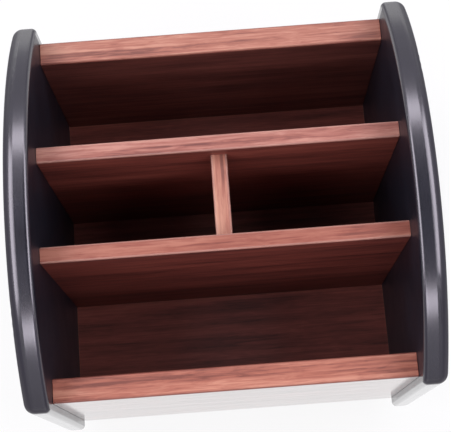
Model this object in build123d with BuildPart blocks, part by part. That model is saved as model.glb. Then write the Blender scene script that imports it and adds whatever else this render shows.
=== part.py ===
from build123d import *
import os
from math import sqrt

# Rotating pen holder: a boarded desk organizer between two arched side panels, on a ball-bearing turntable.
# Millimetres, +Z up, front towards -Y, X across the two side panels.
# The origin lies on the desk, on the axis that the case turns about.

# Case: widths and depths are clear or overall as named, rises are measured from the case floor
inner_width = 176.0
board_depth = 185.0
middle_bay_depth = 41.5
outer_board_thickness = 12.0
bottom_thickness = 12.0
divider_thickness = 8.0
outer_board_rise = 102.0
divider_rise = 126.0
centre_divider_drop = 8.0
board_arris_radius = 1.2
board_end_arris_radius = 0.4

# Groove that houses the centre divider in the front and rear dividers
groove_depth = 2.0
groove_clearance = 0.1

# Side panels: how far they reach past the boards, and how their edges are rounded
panel_thickness = 12.5
panel_overhang = 5.0
panel_shoulder_cover = 9.9
panel_crown_cover = 24.5
panel_outer_edge_radius = 5.5
panel_inner_edge_radius = 2.5
panel_bottom_edge_radius = 0.8
panel_corner_core_radius = 2.0

# Dowels that join the boards to the side panels
board_dowel_diameter = 6.0
divider_dowel_diameter = 4.0
dowel_board_bite = 16.0
dowel_panel_cover = 4.0
dowel_edge_inset = 22.0
dowel_chamfer = 0.5
dowel_clearance = 0.05
dowel_end_room = 0.5

# Balls and the cage that spaces them
ball_count = 18
ball_diameter = 4.0
ball_circle_diameter = 72.0
ball_clearance = 0.05
cage_width = 7.0
cage_clearance = 0.5
cage_pocket_clearance = 0.15

# Bearing plates: pressed sheet, held together by the rolled lip of the lower plate's neck
sheet_thickness = 1.0
track_groove_depth = 0.45
track_margin = 1.0
track_step_run = 2.5
neck_margin = 4.5
lip_reach = 3.0
lip_thickness = 0.8
plate_clearance = 0.3
plate_corner_radius = 10.0
plate_hole_diameter = 4.5
plate_hole_margin = 9.0
screw_circle_margin = 16.4

# Wood screws of the bearing plates
screw_diameter = 3.5
screw_head_diameter = 7.0
screw_head_height = 1.8
screw_head_edge_radius = 0.8
screw_point_length = 3.0
screw_tip_cover = 3.0
screw_hole_clearance = 0.05
screw_recess_length = 3.6
screw_recess_width = 0.9
screw_recess_depth = 1.0

# Turntable base and its rubber feet
base_thickness = 12.0
base_screw_margin = 20.6
base_edge_radius = 2.5
access_hole_diameter = 12.0
access_hole_margin = 2.0
foot_diameter = 16.0
foot_height = 4.0
foot_pocket_depth = 1.0
foot_rim_inset = 14.0
foot_edge_radius = 1.5
foot_clearance = 0.1

# Bearing sizes that follow from the balls, the sheet and the lip
ball_circle_radius = ball_circle_diameter / 2
track_groove_radius = ball_diameter / 2 + ball_clearance
track_gap = 2 * (track_groove_radius - track_groove_depth)
track_step = lip_thickness + 2 * plate_clearance
bearing_height = track_gap + 2 * (sheet_thickness + track_step)
cage_thickness = track_gap - 2 * cage_clearance
track_radius = ball_circle_radius + cage_width / 2 + track_margin
flange_radius = track_radius + track_step_run
neck_outer_radius = ball_circle_radius - cage_width / 2 - neck_margin
screw_circle_radius = flange_radius + screw_circle_margin
plate_hole_pitch = screw_circle_radius * sqrt(2)
plate_side = plate_hole_pitch + 2 * plate_hole_margin

# Heights above the desk
base_bottom = foot_height - foot_pocket_depth
base_top = base_bottom + base_thickness
bearing_middle = base_top + bearing_height / 2
case_bottom = base_top + bearing_height
case_floor = case_bottom + bottom_thickness
outer_board_top = case_floor + outer_board_rise
divider_top = case_floor + divider_rise
centre_divider_top = divider_top - centre_divider_drop
shoulder_z = outer_board_top + panel_shoulder_cover
crown_z = divider_top + panel_crown_cover

# Places across the case
panel_inner_x = inner_width / 2
panel_reach = board_depth / 2 + panel_overhang
outer_board_y = (board_depth - outer_board_thickness) / 2
bottom_depth = board_depth - 2 * outer_board_thickness
divider_y = (middle_bay_depth + divider_thickness) / 2

# Dowel places: each dowel crosses the joint between a board's end and a side panel
dowel_panel_bite = panel_thickness - dowel_panel_cover
dowel_length = dowel_board_bite + dowel_panel_bite
dowel_x = panel_inner_x + (dowel_panel_bite - dowel_board_bite) / 2


def dowel_places(joint_points):
    """Dowel centres at both ends of a board, from their (y, z) points on the joint."""
    return [(side * dowel_x, y, z) for side in (-1, 1) for y, z in joint_points]


def upright_dowel_places(board_y, board_bottom, board_top):
    """A dowel near the bottom and one near the top, at each end of an upright board."""
    heights = (board_bottom + dowel_edge_inset, board_top - dowel_edge_inset)
    return dowel_places([(board_y, z) for z in heights])


front_board_places = upright_dowel_places(-outer_board_y, case_bottom, outer_board_top)
back_board_places = upright_dowel_places(outer_board_y, case_bottom, outer_board_top)
front_divider_places = upright_dowel_places(-divider_y, case_floor, divider_top)
rear_divider_places = upright_dowel_places(divider_y, case_floor, divider_top)
bottom_dowel_y = bottom_depth / 2 - dowel_edge_inset
bottom_dowel_z = case_bottom + bottom_thickness / 2
bottom_board_places = dowel_places([(y, bottom_dowel_z) for y in (-bottom_dowel_y, 0, bottom_dowel_y)])


def bore_dowel_holes(places, diameter):
    """Cut the dowels' holes out of the board or panel that is being built."""
    with Locations(*places):
        Cylinder(
            radius=diameter / 2 + dowel_clearance,
            height=dowel_length + 2 * dowel_end_room,
            rotation=(0, 90, 0),
            mode=Mode.SUBTRACT,
        )


# Side panels: upright edges, an arch from shoulder to shoulder, and all edges rounded
with BuildPart() as left_side_panel:
    with BuildSketch(Plane.YZ.offset(-panel_inner_x)) as panel_outline:
        with BuildLine():
            bottom_edge = Line((-panel_reach, case_bottom), (panel_reach, case_bottom))
            back_edge = Line(bottom_edge @ 1, (panel_reach, shoulder_z))
            arch = ThreePointArc(back_edge @ 1, (0, crown_z), (-panel_reach, shoulder_z))
            Line(arch @ 1, bottom_edge @ 0)
        make_face()
        shoulders = panel_outline.vertices().sort_by(Axis.Y)[-2:]
        fillet(shoulders, radius=panel_outer_edge_radius + panel_corner_core_radius)
    extrude(amount=-panel_thickness)
    outer_face = left_side_panel.faces().sort_by(Axis.X)[0]
    fillet(outer_face.edges().sort_by(Axis.Z)[1:], radius=panel_outer_edge_radius)
    inner_face = left_side_panel.faces().sort_by(Axis.X)[-1]
    fillet(inner_face.edges().sort_by(Axis.Z)[1:], radius=panel_inner_edge_radius)
    bottom_face = left_side_panel.faces().sort_by(Axis.Z)[0]
    fillet(bottom_face.edges(), radius=panel_bottom_edge_radius)
    bore_dowel_holes(front_board_places + back_board_places + bottom_board_places, board_dowel_diameter)
    bore_dowel_holes(front_divider_places + rear_divider_places, divider_dowel_diameter)

with BuildPart() as right_side_panel:
    mirror(left_side_panel.part, about=Plane.YZ)


def ease_board_edges(board):
    """Round the long top edges of an upright board, then the edges round its two ends."""
    top_face = board.faces().sort_by(Axis.Z)[-1]
    fillet(top_face.edges().filter_by(Axis.X), radius=board_arris_radius)
    end_faces = board.faces().filter_by(Axis.X)
    end_edges = [edge for face in end_faces for edge in face.edges().sort_by(Axis.Z)[1:]]
    fillet(end_edges, radius=board_end_arris_radius)


# Front and back boards
with BuildPart() as front_board:
    with BuildSketch(Plane.XY.offset(case_bottom)):
        with Locations((0, -outer_board_y)):
            Rectangle(inner_width, outer_board_thickness)
    extrude(amount=outer_board_top - case_bottom)
    ease_board_edges(front_board)
    bore_dowel_holes(front_board_places, board_dowel_diameter)

with BuildPart() as back_board:
    mirror(front_board.part, about=Plane.XZ)

# Dividers, each with a stopped groove that faces the middle bay
with BuildPart() as front_divider:
    with BuildSketch(Plane.XY.offset(case_floor)):
        with Locations((0, -divider_y)):
            Rectangle(inner_width, divider_thickness)
    extrude(amount=divider_rise)
    ease_board_edges(front_divider)
    with BuildSketch(Plane.XY.offset(case_floor)):
        with Locations((0, -(middle_bay_depth + groove_depth) / 2)):
            Rectangle(divider_thickness + 2 * groove_clearance, groove_depth)
    extrude(amount=centre_divider_top - case_floor, mode=Mode.SUBTRACT)
    bore_dowel_holes(front_divider_places, divider_dowel_diameter)

with BuildPart() as rear_divider:
    mirror(front_divider.part, about=Plane.XZ)

with BuildPart() as centre_divider:
    with BuildSketch(Plane.XY.offset(case_floor)):
        Rectangle(divider_thickness, middle_bay_depth + 2 * (groove_depth - groove_clearance))
    extrude(amount=centre_divider_top - case_floor)
    top_face = centre_divider.faces().sort_by(Axis.Z)[-1]
    fillet(top_face.edges().filter_by(Axis.Y), radius=board_arris_radius)

# Holes for the wood screws, laid out once for the case floor and the turntable base
screw_bite = min(base_thickness, bottom_thickness) - screw_tip_cover
screw_hole_depth = screw_bite + screw_hole_clearance

with BuildSketch() as screw_holes:
    with GridLocations(plate_hole_pitch, plate_hole_pitch, 2, 2):
        Circle(screw_diameter / 2 + screw_hole_clearance)

# Floor of the case, with the upper plate's screw holes in its underside
with BuildPart() as bottom_board:
    with BuildSketch(Plane.XY.offset(case_bottom)):
        Rectangle(inner_width, bottom_depth)
    extrude(amount=bottom_thickness)
    bore_dowel_holes(bottom_board_places, board_dowel_diameter)
    with BuildSketch(Plane.XY.offset(case_bottom)):
        add(screw_holes.sketch)
    extrude(amount=screw_hole_depth, mode=Mode.SUBTRACT)

# Turntable base: screw holes on top, foot pockets below, and one hole for driving the upper plate's screws
base_radius = screw_circle_radius + base_screw_margin
foot_offset = (base_radius - foot_rim_inset) / sqrt(2)
access_hole_x = plate_side / 2 + access_hole_margin + access_hole_diameter / 2

with BuildPart() as turntable_base:
    with BuildSketch(Plane.XY.offset(base_bottom)):
        Circle(base_radius)
        with Locations((access_hole_x, 0)):
            Circle(access_hole_diameter / 2, mode=Mode.SUBTRACT)
    extrude(amount=base_thickness)
    rim_edges = turntable_base.edges().filter_by(GeomType.CIRCLE).sort_by(SortBy.LENGTH)[-2:]
    fillet(rim_edges, radius=base_edge_radius)
    with BuildSketch(Plane.XY.offset(base_top)):
        add(screw_holes.sketch)
    extrude(amount=-screw_hole_depth, mode=Mode.SUBTRACT)
    with BuildSketch(Plane.XY.offset(base_bottom)):
        with GridLocations(2 * foot_offset, 2 * foot_offset, 2, 2):
            Circle(foot_diameter / 2 + foot_clearance)
    extrude(amount=foot_pocket_depth, mode=Mode.SUBTRACT)

# Square flange and ball track that the two bearing plates share
with BuildSketch() as plate_flange:
    RectangleRounded(plate_side, plate_side, plate_corner_radius)
    Circle(flange_radius, mode=Mode.SUBTRACT)
    with GridLocations(plate_hole_pitch, plate_hole_pitch, 2, 2):
        Circle(plate_hole_diameter / 2, mode=Mode.SUBTRACT)

with BuildPart() as ball_track:
    with BuildSketch(Plane.XZ):
        with Locations((ball_circle_radius, bearing_middle)):
            Circle(track_groove_radius)
    revolve(axis=Axis.Z)

# Lower bearing plate: flange on the base, raised track, and a neck whose lip holds the upper plate down
lower_track_bottom = base_top + track_step
lower_track_top = lower_track_bottom + sheet_thickness
upper_track_top = case_bottom - track_step
upper_track_bottom = upper_track_top - sheet_thickness
lip_bottom = upper_track_top + plate_clearance
lip_top = lip_bottom + lip_thickness
lip_radius = neck_outer_radius + lip_reach
neck_inner_radius = neck_outer_radius - sheet_thickness

with BuildPart() as lower_bearing_plate:
    with BuildSketch(Plane.XY.offset(base_top)):
        add(plate_flange.sketch)
    extrude(amount=sheet_thickness)
    with BuildSketch(Plane.XZ):
        with BuildLine():
            Polyline(
                (flange_radius, base_top),
                (flange_radius, base_top + sheet_thickness),
                (track_radius, lower_track_top),
                (neck_outer_radius, lower_track_top),
                (neck_outer_radius, lip_bottom),
                (lip_radius, lip_bottom),
                (lip_radius, lip_top),
                (neck_inner_radius, lip_top),
                (neck_inner_radius, lower_track_bottom),
                (track_radius, lower_track_bottom),
                close=True,
            )
        make_face()
    revolve(axis=Axis.Z)
    add(ball_track.part, mode=Mode.SUBTRACT)

# Upper bearing plate: flange under the case, lowered track, and a hole that runs round the neck
upper_hole_radius = neck_outer_radius + plate_clearance

with BuildPart() as upper_bearing_plate:
    with BuildSketch(Plane.XY.offset(case_bottom - sheet_thickness)):
        add(plate_flange.sketch)
    extrude(amount=sheet_thickness)
    with BuildSketch(Plane.XZ):
        with BuildLine():
            Polyline(
                (flange_radius, case_bottom),
                (flange_radius, case_bottom - sheet_thickness),
                (track_radius, upper_track_bottom),
                (upper_hole_radius, upper_track_bottom),
                (upper_hole_radius, upper_track_top),
                (track_radius, upper_track_top),
                close=True,
            )
        make_face()
    revolve(axis=Axis.Z)
    add(ball_track.part, mode=Mode.SUBTRACT)

# Balls and their cage
with BuildPart(Plane.XY.offset(bearing_middle)) as bearing_balls:
    with PolarLocations(ball_circle_radius, ball_count):
        Sphere(ball_diameter / 2)

with BuildPart() as ball_cage:
    with BuildSketch(Plane.XY.offset(bearing_middle - cage_thickness / 2)):
        Circle(ball_circle_radius + cage_width / 2)
        Circle(ball_circle_radius - cage_width / 2, mode=Mode.SUBTRACT)
        with PolarLocations(ball_circle_radius, ball_count):
            Circle(ball_diameter / 2 + cage_pocket_clearance, mode=Mode.SUBTRACT)
    extrude(amount=cage_thickness)

# Wood screw with a pan head and a crossed recess, its point down and the underside of its head at zero
screw_length = sheet_thickness + screw_bite
screw_radius = screw_diameter / 2
screw_head_radius = screw_head_diameter / 2

with BuildPart() as plate_screw:
    with BuildSketch(Plane.XZ):
        with BuildLine():
            Polyline(
                (0, -screw_length),
                (screw_radius, screw_point_length - screw_length),
                (screw_radius, 0),
                (screw_head_radius, 0),
                (screw_head_radius, screw_head_height),
                (0, screw_head_height),
                close=True,
            )
        make_face()
    revolve(axis=Axis.Z)
    fillet(plate_screw.edges().group_by(Axis.Z)[-1], radius=screw_head_edge_radius)
    with BuildSketch(Plane.XY.offset(screw_head_height)):
        Rectangle(screw_recess_length, screw_recess_width)
        Rectangle(screw_recess_width, screw_recess_length)
    extrude(amount=-screw_recess_depth, mode=Mode.SUBTRACT)

# Screws in place: the lower ones point down into the base, the upper ones up into the case floor
with BuildPart(Plane.XY.offset(base_top + sheet_thickness)) as lower_plate_screws:
    with GridLocations(plate_hole_pitch, plate_hole_pitch, 2, 2):
        add(plate_screw.part)

with BuildPart(Plane.XY.offset(case_bottom - sheet_thickness)) as upper_plate_screws:
    with GridLocations(plate_hole_pitch, plate_hole_pitch, 2, 2):
        add(plate_screw.part, rotation=(180, 0, 0))

pieces = {
    "left_side_panel": left_side_panel,
    "right_side_panel": right_side_panel,
    "front_board": front_board,
    "back_board": back_board,
    "bottom_board": bottom_board,
    "front_divider": front_divider,
    "rear_divider": rear_divider,
    "centre_divider": centre_divider,
    "turntable_base": turntable_base,
    "lower_bearing_plate": lower_bearing_plate,
    "upper_bearing_plate": upper_bearing_plate,
    "bearing_balls": bearing_balls,
    "ball_cage": ball_cage,
    "lower_plate_screws": lower_plate_screws,
    "upper_plate_screws": upper_plate_screws,
}

# Dowels, one group for each board
dowel_groups = {
    "front_board_dowels": (front_board_places, board_dowel_diameter),
    "back_board_dowels": (back_board_places, board_dowel_diameter),
    "bottom_board_dowels": (bottom_board_places, board_dowel_diameter),
    "front_divider_dowels": (front_divider_places, divider_dowel_diameter),
    "rear_divider_dowels": (rear_divider_places, divider_dowel_diameter),
}
for name, (places, diameter) in dowel_groups.items():
    with BuildPart() as dowels:
        with Locations(*places):
            Cylinder(radius=diameter / 2, height=dowel_length, rotation=(0, 90, 0))
        chamfer(dowels.edges().filter_by(GeomType.CIRCLE), length=dowel_chamfer)
    pieces[name] = dowels

# Rubber feet, each seated in its pocket of the base
foot_sides = {
    "front_left_foot": (-1, -1),
    "front_right_foot": (1, -1),
    "rear_left_foot": (-1, 1),
    "rear_right_foot": (1, 1),
}
for name, (side_x, side_y) in foot_sides.items():
    with BuildPart() as foot:
        with BuildSketch():
            with Locations((side_x * foot_offset, side_y * foot_offset)):
                Circle(foot_diameter / 2)
        extrude(amount=foot_height)
        fillet(foot.edges().group_by(Axis.Z)[0], radius=foot_edge_radius)
    pieces[name] = foot

os.makedirs("parts", exist_ok=True)
for name, piece in pieces.items():
    piece.part.label = name
    export_step(piece.part, f"parts/{name}.step")
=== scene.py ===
import math

import bpy
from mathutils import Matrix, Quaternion, Vector

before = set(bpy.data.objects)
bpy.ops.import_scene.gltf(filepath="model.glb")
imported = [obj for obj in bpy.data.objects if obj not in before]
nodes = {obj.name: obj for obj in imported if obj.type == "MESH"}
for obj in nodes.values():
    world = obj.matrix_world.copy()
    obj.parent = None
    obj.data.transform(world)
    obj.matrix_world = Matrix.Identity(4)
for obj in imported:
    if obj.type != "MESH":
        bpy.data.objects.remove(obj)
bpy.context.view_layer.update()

# Looks of the rotating pen holder: finishes for the CAD pieces, a pale floor, studio light and the camera.
# Metres, +Z up, front towards -Y, as in the CAD frame.

MM = 0.001
WHITE = (1.0, 1.0, 1.0, 1.0)

# Camera: where it stands, what it looks at on the desk, how far it leans, and its lens
CAMERA_PLACE = Vector((0.0014, -0.1463, 0.7030))
CAMERA_TARGET = Vector((0.0011, 0.0275, 0.0))
CAMERA_ROLL = math.radians(-4.38)
CAMERA_LENS = 93.77
CAMERA_SENSOR = 36.0

# Floor: its side, its colour, how white it is to the camera near the object, and from where to where that
# grows to all white
FLOOR_SIZE = 12.0
FLOOR_COLOUR = (0.86, 0.86, 0.87, 1.0)
FLOOR_WHITE_SHARE = 0.87
FLOOR_FADE = (0.5, 2.5)

# Sky: degrees from the middle of its dark part overhead, and the radiance there, of which 1 is white
SKY_MIDDLE = Vector((0.16, -0.07, 1.0)).normalized()
SKY_BANDS = [(90.0, 0.50), (65.0, 0.48), (37.0, 0.46), (14.0, 0.03)]
LIGHT_TINT = (1.0, 0.965, 1.05, 1.0)

# Softboxes round the object: bearing from +Y and tilt from straight up, in degrees, size and radiance.
# A lamp's power is its watts per radiance times its radiance and its area.
AIM = Vector((0.0, 0.0, 0.18))
SOFTBOX_DISTANCE = 0.9
WATTS_PER_RADIANCE = 4.0
SIDE_BEARING = 86.0
SIDE_SOFTBOX = {"tilt": 43.0, "size": (1.10, 0.50), "radiance": 2.8}
SOFTBOXES = {
    "left_softbox": {"bearing": -SIDE_BEARING, **SIDE_SOFTBOX},
    "right_softbox": {"bearing": SIDE_BEARING, **SIDE_SOFTBOX},
    "rear_softbox": {"bearing": 0.0, "tilt": 41.0, "size": (0.70, 0.18), "radiance": 3.4},
    "front_softbox": {"bearing": 180.0, "tilt": 46.0, "size": (0.60, 0.16), "radiance": 3.9},
}

# Numbers of a Mix node's colour sockets
MIX_FACTOR, MIX_FIRST, MIX_SECOND, MIX_RESULT = 0, 6, 7, 2

# Noises keep mostly to this part of 0 to 1, and dwell in the narrower one
NOISE_RANGE = (0.3, 0.7)
NOISE_CORE = (0.35, 0.65)

# Paler edges, as wear and on the wood also as a painted highlight: cosines between the rounded and the
# flat normal where it starts and where it is full
EDGE_TURN = (0.995, 0.90)
EDGE_SAMPLES = 6


def add(tree, kind, values=None, **settings):
    """Add a shader node. Values fill its sockets with constants or with other nodes' sockets."""
    node = tree.nodes.new("ShaderNode" + kind)
    for name, value in settings.items():
        setattr(node, name, value)
    for socket, value in (values or {}).items():
        if isinstance(value, bpy.types.NodeSocket):
            tree.links.new(value, node.inputs[socket])
        else:
            node.inputs[socket].default_value = value
    return node


def calculate(tree, operation, first, second=0.0, clamp=False):
    """One sum on two numbers or sockets."""
    return add(tree, "Math", {0: first, 1: second}, operation=operation, use_clamp=clamp).outputs[0]


def spread(tree, value, low, high, to_low=0.0, to_high=1.0):
    """Stretch value from low..high to to_low..to_high, held at both ends."""
    numbers = {"Value": value, "From Min": low, "From Max": high, "To Min": to_low, "To Max": to_high}
    return add(tree, "MapRange", numbers).outputs[0]


def varied(tree, layer, low, high):
    """Turn a noise into values from low to high."""
    return spread(tree, layer, *NOISE_RANGE, low, high)


def blend(tree, factor, first, second):
    """Mix two colours."""
    values = {MIX_FACTOR: factor, MIX_FIRST: first, MIX_SECOND: second}
    return add(tree, "Mix", values, data_type="RGBA").outputs[MIX_RESULT]


def ramp(tree, factor, stops):
    """Colour by factor, through (place, colour) stops."""
    node = add(tree, "ValToRGB", {"Fac": factor})
    elements = node.color_ramp.elements
    while len(elements) < len(stops):
        elements.new(1.0)
    for element, (place, colour) in zip(elements, stops):
        element.position = place
        element.color = colour
    return node.outputs["Color"]


def toned(colour, tone):
    """A colour times the red, green and blue of a tone."""
    return tuple(part * share for part, share in zip(colour, tone)) + (1.0,)


def toned_ramp(tree, factor, stops, tone):
    """A ramp whose colours are all toned."""
    return ramp(tree, factor, [(place, toned(colour, tone)) for place, colour in stops])


def noise(tree, vector, scale, detail=3.0, roughness=0.55, distortion=0.0):
    """Soft random variation, 0 to 1."""
    values = {
        "Vector": vector,
        "Scale": scale,
        "Detail": detail,
        "Roughness": roughness,
        "Distortion": distortion,
    }
    return add(tree, "TexNoise", values).outputs[0]


def part_space(tree, scale=(1.0, 1.0, 1.0), shift=(0.0, 0.0, 0.0), turn=(0.0, 0.0, 0.0)):
    """The piece's own coordinates, in metres, shifted, turned and stretched."""
    own = add(tree, "TexCoord").outputs["Object"]
    values = {"Vector": own, "Location": shift, "Rotation": turn, "Scale": scale}
    return add(tree, "Mapping", values, vector_type="POINT").outputs[0]


def own_place(tree, axis):
    """The piece's own coordinate along an axis, in metres."""
    return add(tree, "SeparateXYZ", {0: part_space(tree)}).outputs[axis]


def facing(tree):
    """The way that a surface faces in the piece's own frame, as its X, Y and Z parts."""
    return add(tree, "SeparateXYZ", {0: add(tree, "TexCoord").outputs["Normal"]}).outputs


def beyond(tree, axis, distance, fade=0.1 * MM):
    """1 on surfaces further than distance from the middle of the object along an axis, 0 nearer in."""
    away = calculate(tree, "ABSOLUTE", own_place(tree, axis))
    return spread(tree, away, distance - fade, distance + fade)


def edge_wear_and_highlight(tree, radius, breakup):
    """Near 1 along sharp or tightly rounded edges, broken up by a noise, and 0 on the flats."""
    rounded = add(tree, "Bevel", {"Radius": radius}, samples=EDGE_SAMPLES).outputs[0]
    flat = add(tree, "NewGeometry").outputs["True Normal"]
    turned = add(tree, "VectorMath", {0: rounded, 1: flat}, operation="DOT_PRODUCT").outputs["Value"]
    return calculate(tree, "MULTIPLY", spread(tree, turned, *EDGE_TURN), breakup, clamp=True)


def bump(tree, height, depth, strength=1.0):
    """A normal that follows height, whose full range is depth deep."""
    return add(tree, "Bump", {"Height": height, "Distance": depth, "Strength": strength}).outputs[0]


def new_finish(name, **constants):
    """A material with one Principled shader, whose constants go straight on its sockets."""
    material = bpy.data.materials.new(name)
    material.use_nodes = True
    tree = material.node_tree
    tree.nodes.clear()
    values = {key.replace("_", " "): value for key, value in constants.items()}
    shader = add(tree, "BsdfPrincipled", values)
    add(tree, "OutputMaterial", {"Surface": shader.outputs[0]})
    return material, tree, shader


def connect(tree, shader, **sockets):
    """Link node outputs to the shader."""
    for name, socket in sockets.items():
        tree.links.new(socket, shader.inputs[name.replace("_", " ")])


# Wood: colours of the boards' faces and of their tops, and where each stands in the figure of the grain.
# The tops are the same wood as the faces, painted paler as painted light; the palest colour is a painted
# highlight round the dividers' tops
WOOD_DARK = (0.060, 0.016, 0.013, 1.0)
WOOD_DEEP = (0.150, 0.036, 0.027, 1.0)
WOOD_MID = (0.250, 0.060, 0.043, 1.0)
WOOD_LIGHT = (0.340, 0.095, 0.066, 1.0)
FACE_STOPS = [(0.10, WOOD_DARK), (0.36, WOOD_DEEP), (0.60, WOOD_MID), (0.88, WOOD_LIGHT)]
TOP_DARK = (0.185, 0.060, 0.041, 1.0)
TOP_MID = (0.370, 0.130, 0.083, 1.0)
TOP_LIGHT = (0.520, 0.240, 0.155, 1.0)
TOP_PAINTED_HIGHLIGHT = (0.620, 0.360, 0.290, 1.0)
PAINTED_LIT_TOP_STOPS = [(0.27, TOP_DARK), (0.46, TOP_MID), (0.68, TOP_LIGHT)]
EVEN = (1.0, 1.0, 1.0)

# Layers of the grain: how long-drawn each is, and its noise. Figure shares say how they add up.
GRAIN_LAYERS = {
    "bands": {"stretch": 0.045, "scale": 180.0, "detail": 2.0, "roughness": 0.5, "distortion": 0.5},
    "fibres": {"stretch": 0.025, "scale": 1000.0, "detail": 4.0, "roughness": 0.6},
    "clouds": {"stretch": 0.30, "scale": 30.0, "detail": 3.0, "distortion": 0.6},
    "flecks": {"stretch": 0.12, "scale": 520.0, "detail": 3.0, "distortion": 1.2},
    "pores": {"stretch": 0.05, "scale": 2400.0, "detail": 2.0},
}
FIGURE_SHARES = {"bands": 0.38, "fibres": 0.24, "clouds": 0.18, "flecks": 0.20}
PORE_SHARE = 0.35

# Surfaces further than this from the middle, front or back, lie outside the bays
CASE_FRONT = 92.35 * MM
# Heights between which level surfaces turn from the case's floor to the boards' tops, and so take the
# paler painted-light top colour
TOP_HEIGHTS = (60 * MM, 100 * MM)
# Roughness that the polish on the outer faces takes away
OUTER_SMOOTHING = 0.18


def wood_grain(name, along, cut, lean, tone=EVEN, bay_painted_shade_tone=EVEN, edge=WOOD_DEEP, edge_share=0.0):
    """Red-brown wood grain, satin in the bays and polished outside, with the surfaces that face up painted
    paler as painted light. Along is the grain's axis, cut the place in the tree that the board comes from,
    lean how the grain slants, tone and the bay tone how its top and its faces in the bays are tinted,
    which is partly painted sheen and shade, edge and edge_share the colour round its top, a painted
    highlight on the dividers, and how strong that is."""
    material, tree, shader = new_finish(name, IOR=1.5, Coat_Roughness=0.08, Coat_IOR=1.55)

    def grain(stretch, **values):
        stretches = tuple(stretch if axis == along else 1.0 for axis in "XYZ")
        return noise(tree, part_space(tree, stretches, cut, lean), **values)

    layers = {layer: grain(**values) for layer, values in GRAIN_LAYERS.items()}
    fibres = layers["fibres"]
    pores = spread(tree, layers["pores"], low=0.62, high=0.72)
    figure = 0.0
    for layer, share in FIGURE_SHARES.items():
        figure = calculate(tree, "ADD", figure, varied(tree, layers[layer], low=0.0, high=share))

    polish = beyond(tree, "Y", CASE_FRONT)
    # Faces in the bays are tinted by the bay tone to how they look in their shade: painted shade, darker
    # on the back board and the front divider
    bay_faces_painted_shade = toned_ramp(tree, figure, FACE_STOPS, bay_painted_shade_tone)
    face = blend(tree, polish, bay_faces_painted_shade, ramp(tree, figure, FACE_STOPS))
    # Each top is tinted by its board's tone: partly painted sheen and shade
    top = toned_ramp(tree, figure, PAINTED_LIT_TOP_STOPS, tone)

    upright = facing(tree)["Z"]
    facing_up = spread(tree, upright, low=0.1, high=0.9)
    high_up = spread(tree, own_place(tree, "Z"), *TOP_HEIGHTS)
    # Surfaces that face up, high enough to be tops, take the paler top colour: painted light
    colour = blend(tree, calculate(tree, "MULTIPLY", facing_up, high_up), face, top)
    # The wood's arrises turn paler, partly as wear and partly as a painted highlight where they catch
    # light
    worn = spread(tree, fibres, *NOISE_CORE, to_low=0.1, to_high=0.5)
    colour = blend(tree, edge_wear_and_highlight(tree, radius=0.7 * MM, breakup=worn), colour, TOP_LIGHT)
    colour = blend(tree, calculate(tree, "MULTIPLY", pores, PORE_SHARE), colour, WOOD_DEEP)
    # Round each top the colour turns to the edge colour: a painted highlight on the dividers, a darker rim
    # on the front and back boards
    off_top = spread(tree, upright, low=0.99, high=0.87, to_high=edge_share)
    off_face = spread(tree, upright, low=0.02, high=0.20)
    colour = blend(tree, calculate(tree, "MULTIPLY", off_top, off_face), colour, edge)

    satin = varied(tree, fibres, low=0.50, high=0.38)
    smoother = calculate(tree, "MULTIPLY", polish, OUTER_SMOOTHING)
    roughness = calculate(tree, "SUBTRACT", satin, smoother)
    relief = bump(tree, calculate(tree, "SUBTRACT", fibres, pores), depth=0.03 * MM, strength=0.4)
    connect(tree, shader, Base_Color=colour, Roughness=roughness, Coat_Weight=polish, Normal=relief)
    return material


# Lacquer: its colours, the tint of its shine, and how rough its satin and its coats are
LACQUER_BLACK = (0.0088, 0.0096, 0.0145, 1.0)
LACQUER_CLOUD = (0.0119, 0.0130, 0.0196, 1.0)
LACQUER_WORN = (0.040, 0.039, 0.044, 1.0)
LACQUER_TINT = (0.96, 0.80, 1.0, 1.0)
LACQUER_SATIN = (0.36, 0.44)
PANEL_COAT_ROUGHNESS = 0.22
BASE_COAT_ROUGHNESS = 0.30

# Polish on the panels: how far its middle leans inwards, how steep a surface must be to count as an end,
# the coat on the strips beyond the boards, and the roughness that polish takes away, that the ends lose
# besides and that the outside gains
CROWN_LEAN = 0.3
END_STEEPNESS = 3.0
STRIP_COAT = 0.5
POLISH_SMOOTHING = 0.16
END_SMOOTHING = 0.14
OUTSIDE_ROUGHENING = 0.20
# Roughness that polish takes away on the base
BASE_SMOOTHING = 0.10


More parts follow.
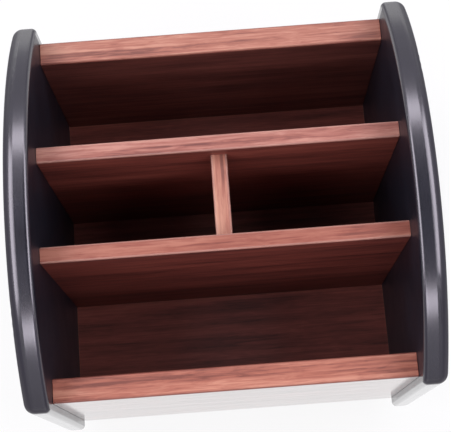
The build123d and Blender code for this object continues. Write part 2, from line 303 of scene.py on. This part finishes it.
def panel_gloss(tree):
    """How polished a side panel is, and how much rougher than satin: polished along its arched top and on
    its ends, half polished on the strips beyond the boards, and matt towards its outer face."""
    normal = facing(tree)
    outward = calculate(tree, "MULTIPLY", normal["X"], calculate(tree, "SIGN", own_place(tree, "X")))
    sideways = calculate(tree, "ABSOLUTE", normal["X"])
    lengthwise = calculate(tree, "ABSOLUTE", normal["Y"])
    slope = calculate(tree, "MULTIPLY", calculate(tree, "ABSOLUTE", normal["Z"]), END_STEEPNESS)
    ends = spread(tree, calculate(tree, "SUBTRACT", lengthwise, slope), low=0.10, high=0.35)

    upward = calculate(tree, "SUBTRACT", normal["Z"], calculate(tree, "MULTIPLY", outward, CROWN_LEAN))
    level = spread(tree, lengthwise, low=0.30, high=0.50, to_low=1.0, to_high=0.0)
    flat = spread(tree, sideways, low=0.25, high=0.55, to_low=1.0, to_high=0.0)
    crown = spread(tree, upward, low=0.55, high=0.80)
    crown = calculate(tree, "MULTIPLY", crown, calculate(tree, "MAXIMUM", level, flat))
    polish = calculate(tree, "MAXIMUM", crown, ends)

    strip = spread(tree, sideways, low=0.90, high=0.98)
    strip = calculate(tree, "MULTIPLY", strip, beyond(tree, "Y", CASE_FRONT))
    coat = calculate(tree, "MAXIMUM", polish, calculate(tree, "MULTIPLY", strip, STRIP_COAT))
    smoother = calculate(tree, "MULTIPLY", calculate(tree, "MAXIMUM", polish, strip), POLISH_SMOOTHING)
    smoother = calculate(tree, "ADD", smoother, calculate(tree, "MULTIPLY", ends, END_SMOOTHING))
    rougher = spread(tree, outward, low=0.50, high=0.80, to_high=OUTSIDE_ROUGHENING)
    return coat, calculate(tree, "SUBTRACT", rougher, smoother)


def disc_gloss(tree):
    """The same for the round base: polished on top and on its rounded upper edge, satin round its side."""
    coat = spread(tree, facing(tree)["Z"], low=0.10, high=0.60)
    return coat, calculate(tree, "MULTIPLY", coat, -BASE_SMOOTHING)


def lacquer(name, coat_roughness, gloss):
    """Black lacquer on fibreboard, as polished as gloss says, with faint orange peel, cloudy satin, specks
    of dust and edges rubbed a little paler."""
    coat_values = {"Coat_Roughness": coat_roughness, "Coat_IOR": 1.85}
    material, tree, shader = new_finish(name, IOR=1.45, Specular_Tint=LACQUER_TINT, **coat_values)
    space = part_space(tree)
    clouds = noise(tree, space, scale=45.0, detail=4.0)
    peel = noise(tree, space, scale=700.0, detail=1.0)
    specks = noise(tree, space, scale=2600.0, detail=1.0)
    dust = spread(tree, specks, low=0.74, high=0.82, to_high=0.25)
    worn = spread(tree, clouds, *NOISE_CORE, to_high=0.35)
    wear = edge_wear_and_highlight(tree, radius=0.9 * MM, breakup=worn)
    colour = blend(tree, varied(tree, clouds, low=0.0, high=1.0), LACQUER_BLACK, LACQUER_CLOUD)
    colour = blend(tree, wear, colour, LACQUER_WORN)
    colour = blend(tree, dust, colour, LACQUER_WORN)
    coat, rougher = gloss(tree)
    roughness = calculate(tree, "ADD", varied(tree, clouds, *LACQUER_SATIN), rougher)
    roughness = calculate(tree, "ADD", roughness, dust)
    relief = bump(tree, peel, depth=0.004 * MM, strength=0.3)
    connect(tree, shader, Base_Color=colour, Roughness=roughness, Coat_Weight=coat, Normal=relief)
    return material


BEECH_DEEP = (0.60, 0.42, 0.25, 1.0)
BEECH_PALE = (0.78, 0.61, 0.41, 1.0)
BEECH_FLECK = (0.42, 0.25, 0.13, 1.0)
BEECH_FIBRE_STRETCH = (0.06, 1.0, 1.0)
BEECH_FLECK_STRETCH = (0.15, 1.0, 1.0)


def bare_beech(name):
    """Pale beech with short dark flecks along the dowels."""
    material, tree, shader = new_finish(name, IOR=1.5)
    fibres = noise(tree, part_space(tree, BEECH_FIBRE_STRETCH), scale=1400.0, detail=4.0)
    flecks = noise(tree, part_space(tree, BEECH_FLECK_STRETCH), scale=1100.0, detail=1.0)
    colour = ramp(tree, fibres, list(zip(NOISE_RANGE, (BEECH_DEEP, BEECH_PALE))))
    colour = blend(tree, spread(tree, flecks, low=0.62, high=0.72, to_high=0.5), colour, BEECH_FLECK)
    relief = bump(tree, fibres, depth=0.08 * MM, strength=0.6)
    roughness = varied(tree, fibres, low=0.75, high=0.60)
    connect(tree, shader, Base_Color=colour, Roughness=roughness, Normal=relief)
    return material


# Zinc: two tints of the same steel, the tones that its clouds take, and the bare steel of its worn edges
ZINC_PLATE = (0.62, 0.63, 0.65, 1.0)
ZINC_SCREW = (0.60, 0.60, 0.61, 1.0)
ZINC_BLUISH = (0.90, 0.96, 1.04)
ZINC_STRAW = (1.04, 1.00, 0.86)
ZINC_WORN = (0.80, 0.80, 0.80, 1.0)
ZINC_LINE_STRETCH = (0.05, 1.0, 1.0)
ZINC_LINE_ROUGHENING = 0.10
ZINC_CLOUD_ROUGHENING = 0.14


def zinc_steel(name, tint, rough):
    """Zinc-plated steel: cloudy tint, drawing lines and a few dull stains."""
    material, tree, shader = new_finish(name, Metallic=1.0)
    clouds = noise(tree, part_space(tree), scale=110.0, detail=4.0, distortion=0.8)
    lines = noise(tree, part_space(tree, ZINC_LINE_STRETCH), scale=2600.0, detail=3.0)
    stops = [(0.32, toned(tint, ZINC_BLUISH)), (0.52, tint), (0.72, toned(tint, ZINC_STRAW))]
    wear = edge_wear_and_highlight(tree, radius=0.4 * MM, breakup=varied(tree, clouds, low=0.2, high=0.9))
    colour = blend(tree, wear, ramp(tree, clouds, stops), ZINC_WORN)
    dull = calculate(tree, "MULTIPLY", clouds, ZINC_CLOUD_ROUGHENING)
    drawn = varied(tree, lines, rough, rough + ZINC_LINE_ROUGHENING)
    relief = bump(tree, lines, depth=0.01 * MM, strength=0.4)
    connect(tree, shader, Base_Color=colour, Roughness=calculate(tree, "ADD", drawn, dull), Normal=relief)
    return material


BALL_DEEP = (0.70, 0.71, 0.73, 1.0)
BALL_BRIGHT = (0.80, 0.81, 0.83, 1.0)


def polished_steel(name):
    """Bright bearing balls with fine lapping marks."""
    material, tree, shader = new_finish(name, Metallic=1.0)
    marks = noise(tree, part_space(tree), scale=1800.0, detail=4.0)
    colour = ramp(tree, marks, list(zip(NOISE_CORE, (BALL_DEEP, BALL_BRIGHT))))
    roughness = spread(tree, marks, low=0.35, high=0.7, to_low=0.07, to_high=0.18)
    connect(tree, shader, Base_Color=colour, Roughness=roughness)
    return material


NYLON_DEEP = (0.70, 0.67, 0.59, 1.0)
NYLON_PALE = (0.82, 0.80, 0.74, 1.0)


def natural_nylon(name):
    """Milky moulded nylon with a faint flow pattern and a fine matt grain."""
    material, tree, shader = new_finish(name, IOR=1.53, Subsurface_Weight=0.15, Subsurface_Scale=1.0 * MM)
    flow = noise(tree, part_space(tree), scale=90.0, detail=3.0, distortion=1.5)
    grain = noise(tree, part_space(tree), scale=3200.0, detail=2.0)
    colour = ramp(tree, flow, list(zip(NOISE_RANGE, (NYLON_DEEP, NYLON_PALE))))
    relief = bump(tree, grain, depth=0.02 * MM, strength=0.5)
    roughness = varied(tree, grain, low=0.42, high=0.58)
    connect(tree, shader, Base_Color=colour, Roughness=roughness, Normal=relief)
    return material


RUBBER_BLACK = (0.022, 0.022, 0.023, 1.0)
RUBBER_DUSTY = (0.060, 0.058, 0.055, 1.0)


def foot_rubber(name):
    """Matt black rubber, dusty in places, with a fine moulded grain."""
    material, tree, shader = new_finish(name, IOR=1.52)
    dust = noise(tree, part_space(tree), scale=160.0, detail=5.0)
    grain = noise(tree, part_space(tree), scale=2600.0, detail=3.0)
    colour = ramp(tree, dust, [(0.40, RUBBER_BLACK), (0.75, RUBBER_DUSTY)])
    relief = bump(tree, grain, depth=0.06 * MM, strength=0.6)
    roughness = varied(tree, dust, low=0.72, high=0.88)
    connect(tree, shader, Base_Color=colour, Roughness=roughness, Normal=relief)
    return material


def dress(material, *names):
    """Give CAD nodes a material in place of their packed one."""
    for name in names:
        slots = nodes[name].material_slots
        for slot in slots:
            slot.material = material
        if not slots:
            nodes[name].data.materials.append(material)


# Boards: the grain runs along each board, and each has its own cut of the tree and its own tint, set to
# how bright its top and its bay faces look under the lights: partly painted sheen and shade
BOARDS = {
    "front_board": {
        "along": "X",
        "cut": (0.3, 0.1, 0.5),
        "lean": (0.0, 0.02, 0.03),
        "tone": (1.01, 0.97, 1.01),
        "edge": WOOD_DEEP,
        "edge_share": 0.5,
    },
    "back_board": {
        "along": "X",
        "cut": (0.1, 0.2, 0.3),
        "lean": (0.0, -0.03, 0.02),
        "tone": (1.01, 1.06, 1.13),
        "bay_painted_shade_tone": (0.66, 0.85, 0.92),
        "edge": WOOD_DEEP,
        "edge_share": 0.4,
    },
    "front_divider": {
        "along": "X",
        "cut": (0.4, 0.8, 0.1),
        "lean": (0.0, 0.03, -0.02),
        "tone": (0.75, 0.63, 0.66),
        "bay_painted_shade_tone": (0.84, 0.78, 0.78),
        "edge": TOP_PAINTED_HIGHLIGHT,
        "edge_share": 0.4,
    },
    "rear_divider": {
        "along": "X",
        "cut": (0.2, 0.7, 0.4),
        "lean": (0.0, -0.02, -0.03),
        "tone": (0.90, 0.92, 1.08),
        "edge": TOP_PAINTED_HIGHLIGHT,
        "edge_share": 0.4,
    },
    "centre_divider": {
        "along": "Y",
        "cut": (0.05, 0.60, 0.09),
        "lean": (0.02, 0.0, 0.02),
        "tone": (1.0, 1.09, 1.16),
        "edge": TOP_PAINTED_HIGHLIGHT,
        "edge_share": 0.4,
    },
    "bottom_board": {
        "along": "X",
        "cut": (0.62, -0.05, -0.02),
        "lean": (0.0, 0.02, 0.04),
        "bay_painted_shade_tone": (0.98, 1.09, 1.14),
    },
}
for board, board_values in BOARDS.items():
    dress(wood_grain(board + "_wood", **board_values), board)

panel_lacquer = lacquer("black_lacquer", PANEL_COAT_ROUGHNESS, panel_gloss)
dress(panel_lacquer, "left_side_panel", "right_side_panel")
dress(lacquer("base_lacquer", BASE_COAT_ROUGHNESS, disc_gloss), "turntable_base")

dowel_groups = [name for name in nodes if name.endswith("_dowels")]
feet = [name for name in nodes if name.endswith("_foot")]
dress(bare_beech("beech"), *dowel_groups)
dress(zinc_steel("zinc_plate", ZINC_PLATE, rough=0.28), "lower_bearing_plate", "upper_bearing_plate")
dress(zinc_steel("zinc_screw", ZINC_SCREW, rough=0.22), "lower_plate_screws", "upper_plate_screws")
dress(polished_steel("ball_steel"), "bearing_balls")
dress(natural_nylon("cage_nylon"), "ball_cage")
dress(foot_rubber("foot_rubber"), *feet)


def shown_to_camera(tree):
    """1 for rays that bring a surface to the camera, straight, mirrored or through a clear piece."""
    path = add(tree, "LightPath").outputs
    mirrored = calculate(tree, "ADD", path["Is Glossy Ray"], path["Is Transmission Ray"])
    return calculate(tree, "ADD", path["Is Camera Ray"], mirrored, clamp=True)


def make_floor():
    """A plain pale floor that stays close to white and keeps the object's shadow."""
    half = FLOOR_SIZE / 2
    mesh = bpy.data.meshes.new("floor")
    corners = [(-half, -half, 0.0), (half, -half, 0.0), (half, half, 0.0), (-half, half, 0.0)]
    mesh.from_pydata(corners, [], [(0, 1, 2, 3)])
    floor = bpy.data.objects.new("floor", mesh)
    bpy.context.scene.collection.objects.link(floor)
    material = bpy.data.materials.new("floor")
    material.use_nodes = True
    tree = material.node_tree
    tree.nodes.clear()
    lit = add(tree, "BsdfDiffuse", {"Color": FLOOR_COLOUR})
    white = add(tree, "Emission", {"Color": WHITE, "Strength": 1.0})
    far = add(tree, "VectorMath", {0: part_space(tree)}, operation="LENGTH").outputs["Value"]
    white_share = spread(tree, far, *FLOOR_FADE, to_low=FLOOR_WHITE_SHARE, to_high=1.0)
    share = calculate(tree, "MULTIPLY", shown_to_camera(tree), white_share)
    surface = add(tree, "MixShader", {0: share, 1: lit.outputs[0], 2: white.outputs[0]})
    add(tree, "OutputMaterial", {"Surface": surface.outputs[0]})
    mesh.materials.append(material)


def make_sky():
    """Even light from all round with a dark disc overhead, and a white background."""
    world = bpy.data.worlds.new("studio")
    world.use_nodes = True
    tree = world.node_tree
    tree.nodes.clear()
    direction = add(tree, "TexCoord").outputs["Generated"]
    turned = add(tree, "VectorMath", {0: direction, 1: SKY_MIDDLE}, operation="DOT_PRODUCT")
    stops = [(math.cos(math.radians(angle)), (r, r, r, 1.0)) for angle, r in SKY_BANDS]
    sky = ramp(tree, turned.outputs["Value"], stops)
    seen = add(tree, "LightPath").outputs["Is Camera Ray"]
    strength = calculate(tree, "MAXIMUM", sky, seen)
    colour = blend(tree, seen, LIGHT_TINT, WHITE)
    background = add(tree, "Background", {"Color": colour, "Strength": strength})
    add(tree, "OutputWorld", {"Surface": background.outputs[0]})
    bpy.context.scene.world = world


def make_softbox(name, bearing, tilt, size, radiance):
    """A rectangular soft light that faces the object, its first side level."""
    bearing, tilt = math.radians(bearing), math.radians(tilt)
    level = math.sin(tilt)
    direction = Vector((level * math.sin(bearing), level * math.cos(bearing), math.cos(tilt)))
    lamp = bpy.data.lights.new(name, "AREA")
    lamp.shape = "RECTANGLE"
    width, height = size
    lamp.size, lamp.size_y = width, height
    lamp.energy = WATTS_PER_RADIANCE * radiance * width * height
    lamp.color = LIGHT_TINT[:3]
    softbox = bpy.data.objects.new(name, lamp)
    softbox.location = AIM + SOFTBOX_DISTANCE * direction
    softbox.rotation_mode = "QUATERNION"
    softbox.rotation_quaternion = (-direction).to_track_quat("-Z", "Y")
    softbox.visible_camera = False
    bpy.context.scene.collection.objects.link(softbox)


def make_camera():
    """The camera above the front of the object, leaning a little."""
    data = bpy.data.cameras.new("camera")
    data.sensor_width = CAMERA_SENSOR
    data.lens = CAMERA_LENS
    camera = bpy.data.objects.new("camera", data)
    upright = (CAMERA_TARGET - CAMERA_PLACE).to_track_quat("-Z", "Y")
    camera.location = CAMERA_PLACE
    camera.rotation_mode = "QUATERNION"
    camera.rotation_quaternion = upright @ Quaternion((0.0, 0.0, 1.0), CAMERA_ROLL)
    bpy.context.scene.collection.objects.link(camera)
    bpy.context.scene.camera = camera


make_floor()
make_sky()
for softbox_name, softbox_values in SOFTBOXES.items():
    make_softbox(softbox_name, **softbox_values)
make_camera()
bpy.context.scene.view_settings.view_transform = "Standard"
